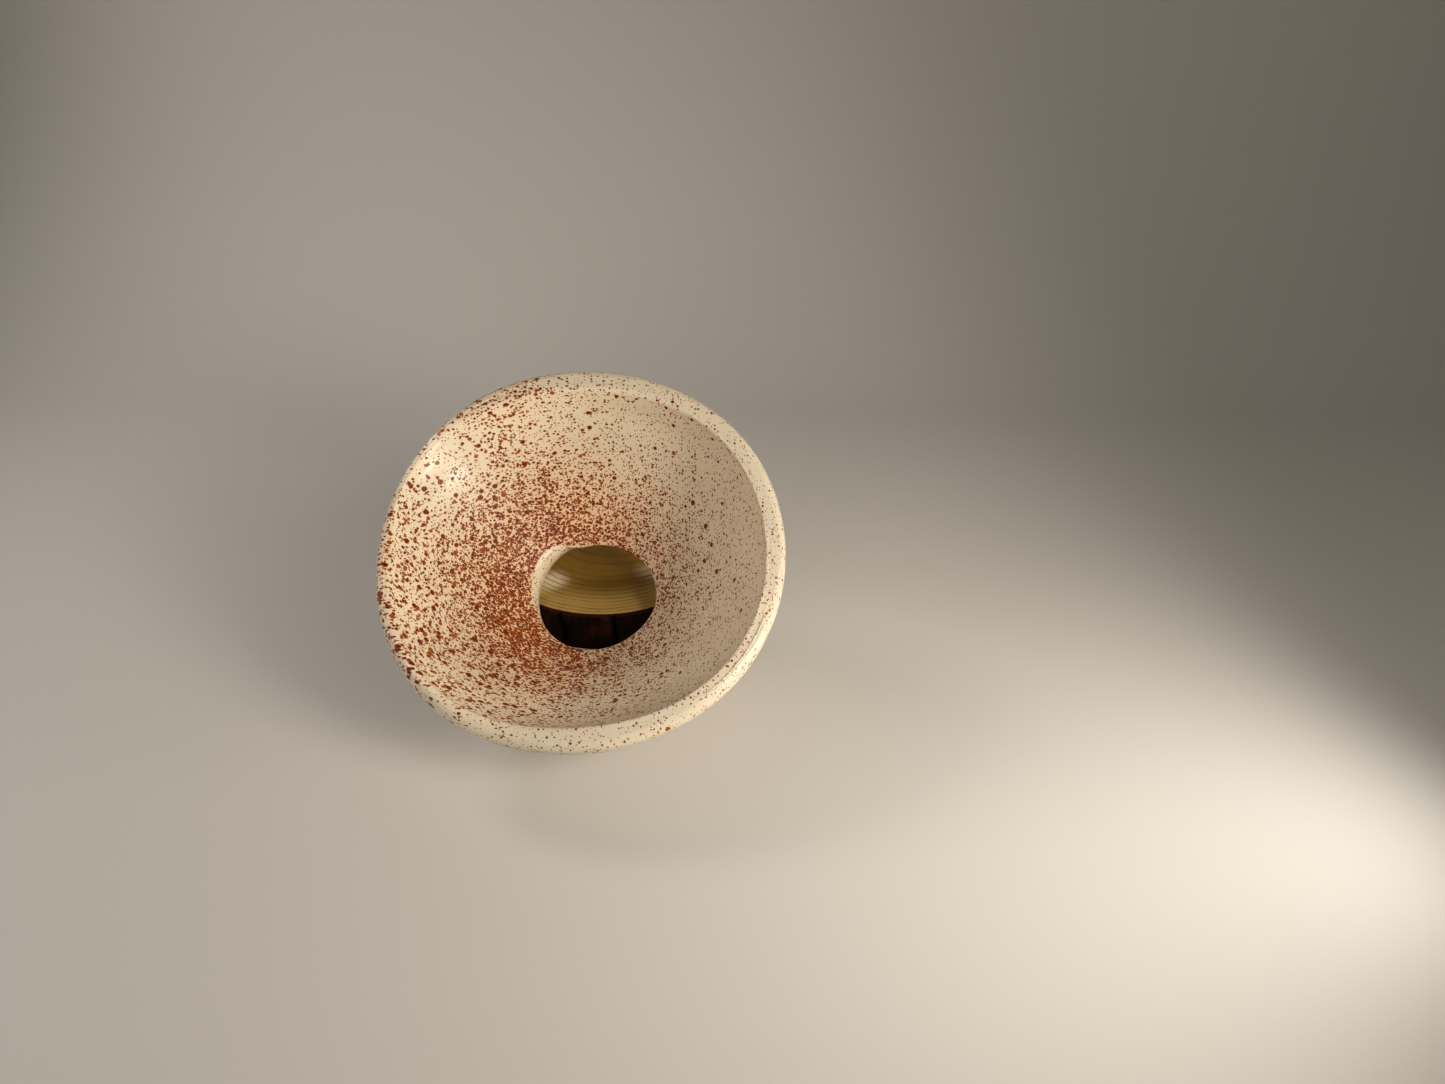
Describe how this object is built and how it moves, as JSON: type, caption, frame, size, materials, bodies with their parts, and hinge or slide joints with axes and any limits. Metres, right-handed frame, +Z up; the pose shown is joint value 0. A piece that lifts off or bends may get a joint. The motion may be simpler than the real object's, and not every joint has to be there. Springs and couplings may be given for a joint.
{
  "type": "funnel on a wood slice",
  "caption": "Wide-mouthed stoneware funnel with a round lip and an open throat, tipped forward by resting its foot on the edge of a bark-edged wood slice.",
  "frame": {"origin": "centre of the wood slice's underside, on the ground", "axes": "+Z up; the funnel's mouth tips towards -Y; +X to the right seen from the mouth side"},
  "size_m": [0.15, 0.1942, 0.1081],
  "materials": {
    "glazed_stoneware": "glossy cream glaze, rust-brown speckle",
    "wood_end_grain": "fine-sawn, unfinished",
    "inner_bark": "raw",
    "outer_bark": "rough, raw"
  },
  "bodies": {
    "root": {"wood_slice": "wood_end_grain", "inner_bark": "inner_bark", "outer_bark": "outer_bark"},
    "funnel": {"funnel": "glazed_stoneware"}
  },
  "joints": [
    {"name": "funnel_lift", "type": "slide", "parent": "root", "child": "funnel", "axis": [0, 0, 1], "range_m": [0, 0.08]}
  ]
}
